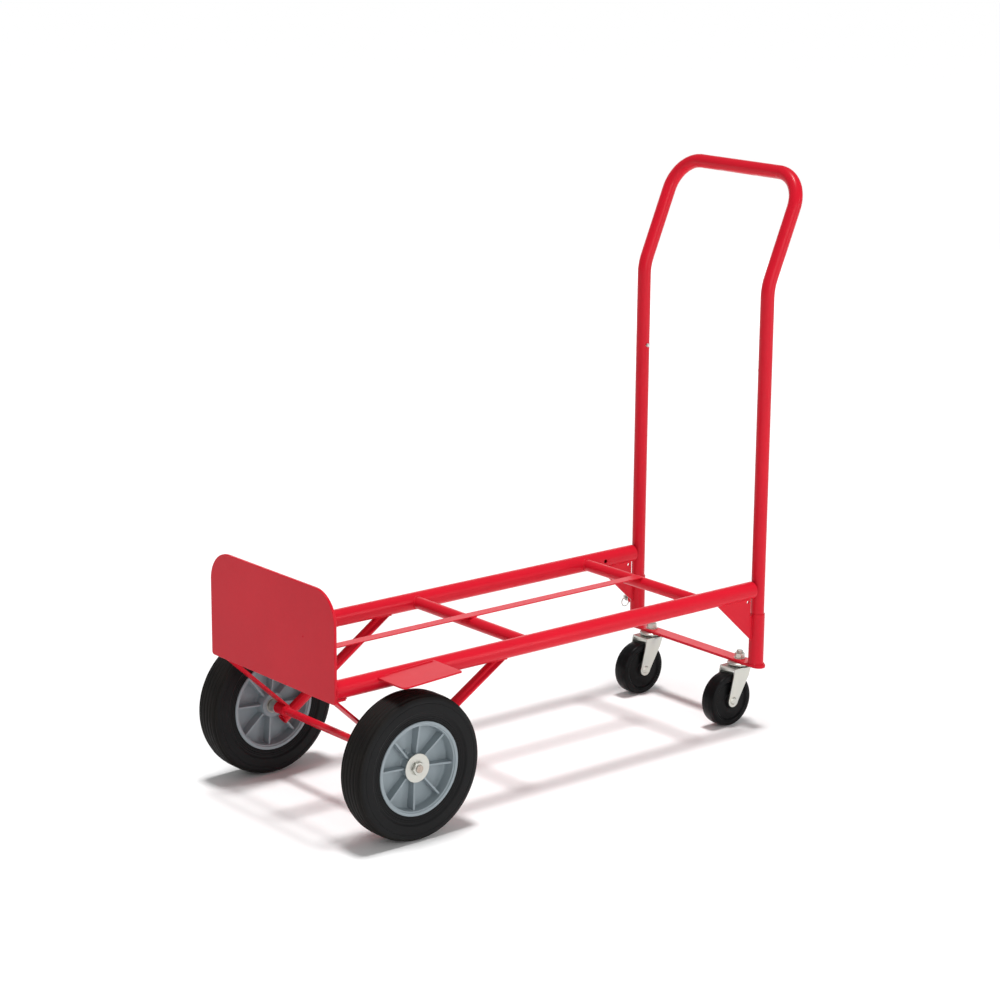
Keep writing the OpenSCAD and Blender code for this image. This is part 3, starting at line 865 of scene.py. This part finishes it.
class TRUCK_OT_tyres(bpy.types.Operator):
    """Mould the solid tyres, with tread grooves, shoulders and stepped side walls"""

    bl_idname = "truck.tyres"
    bl_label = "Tyres"

    def execute(self, context):
        depth = context.scene.truck_sizes.groove_depth
        for side, sign in SIDES.items():
            node = "tyre_" + side
            size = extent(node)
            centre = middle(node)
            outer = size.z / 2
            half = size.y / 2
            inner = extent("hub_" + side).z / 2
            corners = [
                (inner, -half + 4 * MM),
                (inner + 14 * MM, -half + 3 * MM),
                (inner + 17 * MM, -half),
                (outer - 9 * MM, -half),
                (outer - 3.5 * MM, -half + 2.5 * MM),
                (outer - 1 * MM, -half + 7 * MM),
                (outer, -half * 0.4),
                (outer, half * 0.4),
                (outer - 1 * MM, half - 7 * MM),
                (outer - 3.5 * MM, half - 2.5 * MM),
                (outer - 9 * MM, half),
                (inner + 17 * MM, half),
                (inner + 14 * MM, half - 3 * MM),
                (inner, half - 4 * MM),
            ]
            profile = soft_outline(corners, 460, 5)
            radius, along = profile[:, 0].copy(), profile[:, 1].copy()
            on_tread = np.clip((radius - (outer - 7 * MM)) / (2 * MM), 0.0, 1.0)
            on_wall = np.clip((np.abs(along) - (half - 7 * MM)) / (3 * MM), 0.0, 1.0)
            for at in (-13.0, -4.4, 4.4, 13.0):
                radius -= on_tread * depth * dip(along, at * MM, 1.3 * MM)
            radius -= on_tread * 2.4 * depth * (
                dip(along, half - 7 * MM, 2.2 * MM) + dip(along, 7 * MM - half, 2.2 * MM)
            )
            for at in (2.5, 6.0, 9.5):
                along -= np.sign(along) * on_wall * 0.8 * MM * dip(profile[:, 0], inner + at * MM, 0.8 * MM)
            along -= np.sign(along) * on_wall * 0.7 * MM * dip(profile[:, 0], outer - 14 * MM, 0.8 * MM)
            grid = lathe(np.stack([radius, along], axis=1), centre, sign, 176)
            surface = Surface().grid(grid, close_rows=True)
            surface.build(node + "_moulded", node, sharp=80.0, replaces=(node,))
        return {"FINISHED"}


class TRUCK_OT_hubs(bpy.types.Operator):
    """Mould the ribbed hubs and finish their bearings"""

    bl_idname = "truck.hubs"
    bl_label = "Hubs"

    def execute(self, context):
        sizes = context.scene.truck_sizes
        for side, sign in SIDES.items():
            self.mould(side, sign, sizes)
            dressed("hub_bearings_" + side, 0.2 * MM)
        return {"FINISHED"}

    def mould(self, side, sign, sizes):
        """Rim, web and boss as one turned profile, with the ribs let into it."""
        node = "hub_" + side
        wheel = middle("tyre_" + side)
        low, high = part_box(node)
        reach = max(sign * (low.y - wheel.y), sign * (high.y - wheel.y))
        outer = extent(node).z / 2
        half = max(extent("tyre_" + side).y / 2 - 2.8 * MM, reach - 0.1 * MM)
        rim = outer - 8 * MM
        boss_in = -24.0 * MM
        boss_out = 17.5 * MM
        boss = 22 * MM
        bearing = extent("hub_bearings_" + side).z / 2
        bearing_width = 8 * MM
        bore = extent("axle").x / 2 + 1 * MM
        web = 2.5 * MM
        corners = [
            (bore, boss_in + bearing_width),
            (bearing, boss_in + bearing_width),
            (bearing, boss_in),
            (boss - 0.5 * MM, boss_in),
            (boss, boss_in + 1 * MM),
            (boss + 1 * MM, -web - 2 * MM),
            (boss + 3 * MM, -web),
            (rim - 3 * MM, -web),
            (rim - 1 * MM, -web - 2 * MM),
            (rim, -half + 2.6 * MM),
            (rim + 2.2 * MM, -half + 2.2 * MM),
            (rim + 2.6 * MM, -half),
            (outer, -half),
            (outer, half),
            (rim + 2.6 * MM, half),
            (rim + 2.2 * MM, half - 2.2 * MM),
            (rim, half - 2.6 * MM),
            (rim - 1 * MM, web + 2 * MM),
            (rim - 3 * MM, web),
            (boss + 3 * MM, web),
            (boss + 1 * MM, web + 2 * MM),
            (boss, boss_out - 1 * MM),
            (boss - 0.5 * MM, boss_out),
            (bearing, boss_out),
            (bearing, boss_out - bearing_width),
            (bore, boss_out - bearing_width),
        ]
        profile = soft_outline(corners, 620, 2)
        surface = Surface().grid(lathe(profile, wheel, sign, 144), close_rows=True)
        for rib in range(sizes.rib_count):
            turn = math.radians(-5) - rib * FULL_TURN / sizes.rib_count
            self.rib(surface, wheel, sign, turn, sizes.rib_width)
        self.valve(surface, wheel, sign)
        surface.build(node + "_moulded", node, sharp=35.0, replaces=(node,))

    def rib(self, surface, wheel, sign, turn, width):
        """A rib from the boss to the rim, drafted so that it is thinner at its top.

        Each cross section is a slab of width w with chamfered top corners: its half thickness is 1.3 w/2 near
        the web and 0.95 w/2 near the top. Its top rises in a straight line from the boss to the rim.
        """
        root = 20.5 * MM
        tip = 74.2 * MM
        along = np.linspace(root, tip, 24)[:, None]
        share = (along - along[0]) / (along[-1] - along[0])
        for face in (1.0, -1.0):
            top = (14.5 * MM + share * 4.5 * MM) if face > 0 else (17.5 * MM + share * 1.5 * MM)
            height = np.array([[1.0, 1.0, 8.0, 99.0, 100.0, 100.0, 99.0, 8.0, 1.0, 1.0]]) / 100.0
            spread = np.array([[-1.0, -1.3, -1.25, -0.95, -0.6, 0.6, 0.95, 1.25, 1.3, 1.0]])
            y = face * height * top
            across = spread * (width / 2) * (1 + 0 * along)
            cosine, sine = math.cos(turn), math.sin(turn)
            points = np.stack(
                [
                    wheel.x + along * cosine - across * sine,
                    wheel.y + sign * y + 0 * along,
                    wheel.z + along * sine + across * cosine,
                ],
                axis=-1,
            )
            surface.grid(points, capped=True)

    def valve(self, surface, wheel, sign):
        """A small moulded grease boss with a domed cap, between two ribs."""
        turn = math.radians(117) if sign < 0 else math.radians(63)
        centre = Vector((wheel.x + 31 * MM * math.cos(turn), wheel.y, wheel.z + 31 * MM * math.sin(turn)))
        collar = [(4.2, 1.0), (3.8, 3.0), (3.6, 8.4), (3.2, 9.0)]
        cap = [(2.2, 9.0), (2.0, 11.0), (1.2, 12.0), (0.3, 12.2)]
        profile = np.array(collar + cap) * MM
        surface.grid(lathe(profile, centre, sign, 24), capped=True)


class TRUCK_OT_casters(bpy.types.Operator):
    """Make the caster wheels, forks, races, stems and their nuts"""

    bl_idname = "truck.casters"
    bl_label = "Casters"

    def execute(self, context):
        pitch = context.scene.truck_sizes.thread_pitch
        for side in SIDES:
            dressed("caster_fork_" + side, 0.7 * MM)
            dressed("caster_rivet_" + side, 0.5 * MM)
            dressed("caster_bush_" + side, 0.2 * MM)
            dressed("swivel_balls_" + side, 0)
            self.wheel(side)
        dressed("caster_races", 0.4 * MM)
        dressed("caster_stem_washers", 0.3 * MM)
        dressed("caster_stem_nuts", 0.3 * MM, sharp=20.0)
        self.stems(pitch)
        return {"FINISHED"}

    def wheel(self, side):
        """A turned profile: a crowned tread, a groove at each shoulder, a dished face and a raised boss."""
        node = "caster_wheel_" + side
        centre = middle(node)
        outer = extent(node).z / 2
        boss = extent(node).y / 2
        half = boss - 1 * MM
        bore = extent("caster_bush_" + side).z / 2
        corners = [
            (bore, -boss),
            (bore + 5.5 * MM, -boss),
            (bore + 7 * MM, -half + 3 * MM),
            (outer - 15 * MM, -half + 4 * MM),
            (outer - 12 * MM, -half + 0.4 * MM),
            (outer - 9 * MM, -half),
            (outer - 3.5 * MM, -half + 0.6 * MM),
            (outer - 1 * MM, -half + 3 * MM),
            (outer, -half * 0.3),
            (outer, half * 0.3),
            (outer - 1 * MM, half - 3 * MM),
            (outer - 3.5 * MM, half - 0.6 * MM),
            (outer - 9 * MM, half),
            (outer - 12 * MM, half - 0.4 * MM),
            (outer - 15 * MM, half - 4 * MM),
            (bore + 7 * MM, half - 3 * MM),
            (bore + 5.5 * MM, boss),
            (bore, boss),
        ]
        profile = soft_outline(corners, 300, 3)
        radius, along = profile[:, 0].copy(), profile[:, 1].copy()
        wall = np.clip((np.abs(along) - (half - 5 * MM)) / (2 * MM), 0.0, 1.0)
        along -= np.sign(along) * wall * 0.7 * MM * dip(radius, outer - 10.5 * MM, 0.6 * MM)
        surface = Surface().grid(lathe(np.stack([radius, along], axis=1), centre, 1.0, 128), close_rows=True)
        surface.build(node + "_moulded", node, sharp=40.0, replaces=(node,))

    def stems(self, pitch):
        """Turned stems. Above the bar the radius falls by 0.45 mm in the root of a helical thread.

        At height z and angle a the thread is a triangle wave of z / pitch - a / 2 pi.
        """
        surface = Surface()
        low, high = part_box("caster_stems")
        thread_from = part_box("caster_bar")[1].z
        head = 9 * MM
        stem = 6 * MM
        head_height = 3 * MM
        angle = np.linspace(0.0, FULL_TURN, 48, endpoint=False)[None, :]
        shank = [low.z + head_height, thread_from - 2 * MM]
        height = np.concatenate(
            [
                [low.z, low.z + 0.01 * MM, low.z + head_height - 0.01 * MM],
                shank,
                np.linspace(thread_from, high.z - 1 * MM, 110),
                [high.z],
            ]
        )[:, None]
        radius = np.full_like(height, stem)
        radius[:3] = [[head - 0.6 * MM], [head], [head]]
        radius[-1] = stem - 1 * MM
        turns = (height / pitch - angle / FULL_TURN) % 1.0
        wave = np.abs(2 * turns - 1)
        threaded = (height > thread_from) & (height < high.z - 0.5 * MM)
        radius = radius - np.where(threaded, 0.45 * MM * wave, 0.0)
        for side in SIDES:
            centre = middle("caster_wheel_" + side)
            stem_x = middle("leg_socket_" + side).x
            points = np.stack(
                [stem_x + radius * np.cos(angle), centre.y + radius * np.sin(angle), height + 0 * angle],
                axis=-1,
            )
            surface.grid(points, capped=True)
        surface.build("caster_stems_turned", "caster_stems", sharp=30.0, replaces=("caster_stems",))


class TRUCK_OT_handle(bpy.types.Operator):
    """Dress the handle loop, its snap buttons and their springs"""

    bl_idname = "truck.handle"
    bl_label = "Handle"

    def execute(self, context):
        dressed("handle_loop", 0.3 * MM)
        for side in SIDES:
            dressed("snap_button_" + side, 0)
            dressed("button_spring_" + side, 0)
        return {"FINISHED"}


class TRUCK_OT_locks(bpy.types.Operator):
    """Dress the lock pin and its pull ring"""

    bl_idname = "truck.locks"
    bl_label = "Lock pin"

    def execute(self, context):
        dressed("lock_pin", 0.4 * MM)
        dressed("pull_ring", 0)
        return {"FINISHED"}


class TRUCK_OT_stage(bpy.types.Operator):
    """Set up the floor, the studio lights and the camera"""

    bl_idname = "truck.stage"
    bl_label = "Stage"

    def execute(self, context):
        stage = context.scene.truck_stage
        self.floor(stage)
        self.lights()
        self.camera(context, stage)
        return {"FINISHED"}

    def floor(self, stage):
        """A flat square grid, far wider than the view."""
        reach = np.linspace(-30.0, 30.0, 9)
        points = np.stack(np.meshgrid(reach, reach, [0.0], indexing="ij"), axis=-1).reshape(-1, 3)
        mesh = bpy.data.meshes.new("floor")
        mesh.from_pydata(points.tolist(), [], quads(9, 9, False, False).tolist())
        mesh.materials.append(floor_finish(stage.floor))
        floor = bpy.data.objects.new("floor", mesh)
        bpy.context.scene.collection.objects.link(floor)

    def lights(self):
        """An overhead sun, a broad fill from the camera's side, a tall strip, and a wash from behind."""
        for name, place, aim, width, height, power in (
            ("fill", (-1.0, -4.3, 1.7), (0.0, 0.0, 0.4), 2.6, 2.0, 60.0),
            ("strip", (2.0, -2.9, 1.2), (0.2, 0.0, 0.6), 0.35, 2.2, 18.0),
            ("backdrop", (2.4, 4.6, 1.4), (0.0, 0.0, 0.4), 6.0, 2.4, 50.0),
        ):
            light = bpy.data.lights.new(name, "AREA")
            light.shape = "RECTANGLE"
            light.size = width
            light.size_y = height
            light.energy = power
            lamp = bpy.data.objects.new(name, light)
            lamp.location = place
            lamp.rotation_euler = (Vector(aim) - Vector(place)).to_track_quat("-Z", "Y").to_euler()
            lamp.visible_camera = False
            bpy.context.scene.collection.objects.link(lamp)
        overhead = bpy.data.lights.new("overhead", "SUN")
        overhead.energy = OVERHEAD_STRENGTH
        overhead.angle = OVERHEAD_SPREAD
        bpy.context.scene.collection.objects.link(bpy.data.objects.new("overhead", overhead))
        world = bpy.data.worlds.new("studio")
        world.use_nodes = True
        sky = world.node_tree.nodes["Background"]
        sky.inputs["Color"].default_value = (1.0, 1.0, 1.0, 1.0)
        sky.inputs["Strength"].default_value = SKY_STRENGTH
        bpy.context.scene.world = world
        bpy.context.scene.view_settings.view_transform = "Standard"

    def camera(self, context, stage):
        """Looks at the aim from the given turn, rise and distance, then rolls about the view axis."""
        back = Vector(
            (
                math.sin(stage.turn) * math.cos(stage.rise),
                -math.cos(stage.turn) * math.cos(stage.rise),
                math.sin(stage.rise),
            )
        )
        right = Vector((math.cos(stage.turn), math.sin(stage.turn), 0.0))
        up = back.cross(right)
        turned = Matrix.Rotation(stage.roll, 3, back) @ Matrix((right, up, back)).transposed()
        data = bpy.data.cameras.new("camera")
        data.lens = stage.lens
        data.sensor_width = 36.0
        camera = bpy.data.objects.new("camera", data)
        camera.matrix_world = Matrix.Translation(Vector(stage.aim) + stage.distance * back) @ turned.to_4x4()
        context.scene.collection.objects.link(camera)
        context.scene.camera = camera


STEPS = (
    TRUCK_OT_frame_tubes,
    TRUCK_OT_frame_plates,
    TRUCK_OT_welds,
    TRUCK_OT_axle,
    TRUCK_OT_tyres,
    TRUCK_OT_hubs,
    TRUCK_OT_casters,
    TRUCK_OT_handle,
    TRUCK_OT_locks,
    TRUCK_OT_stage,
)


class TRUCK_PT_panel(bpy.types.Panel):
    """Lists the steps and the settings in the sidebar"""

    bl_idname = "TRUCK_PT_panel"
    bl_label = "Hand Truck"
    bl_space_type = "VIEW_3D"
    bl_region_type = "UI"
    bl_category = "Hand Truck"

    def draw(self, context):
        for group in ("truck_looks", "truck_sizes", "truck_stage"):
            settings = getattr(context.scene, group)
            box = self.layout.box()
            for name in settings.__annotations__:
                box.prop(settings, name)
        for step in STEPS:
            self.layout.operator(step.bl_idname)


GROUPS = {"truck_looks": TruckLooks, "truck_sizes": TruckSizes, "truck_stage": TruckStage}


def register():
    for kind in (*GROUPS.values(), *STEPS, TRUCK_PT_panel):
        bpy.utils.register_class(kind)
    for name, kind in GROUPS.items():
        setattr(bpy.types.Scene, name, PointerProperty(type=kind))


def unregister():
    for name in GROUPS:
        delattr(bpy.types.Scene, name)
    for kind in reversed((*GROUPS.values(), *STEPS, TRUCK_PT_panel)):
        bpy.utils.unregister_class(kind)


def main():
    register()
    for step in STEPS:
        group, name = step.bl_idname.split(".")
        getattr(getattr(bpy.ops, group), name)()


if __name__ == "__main__":
    main()
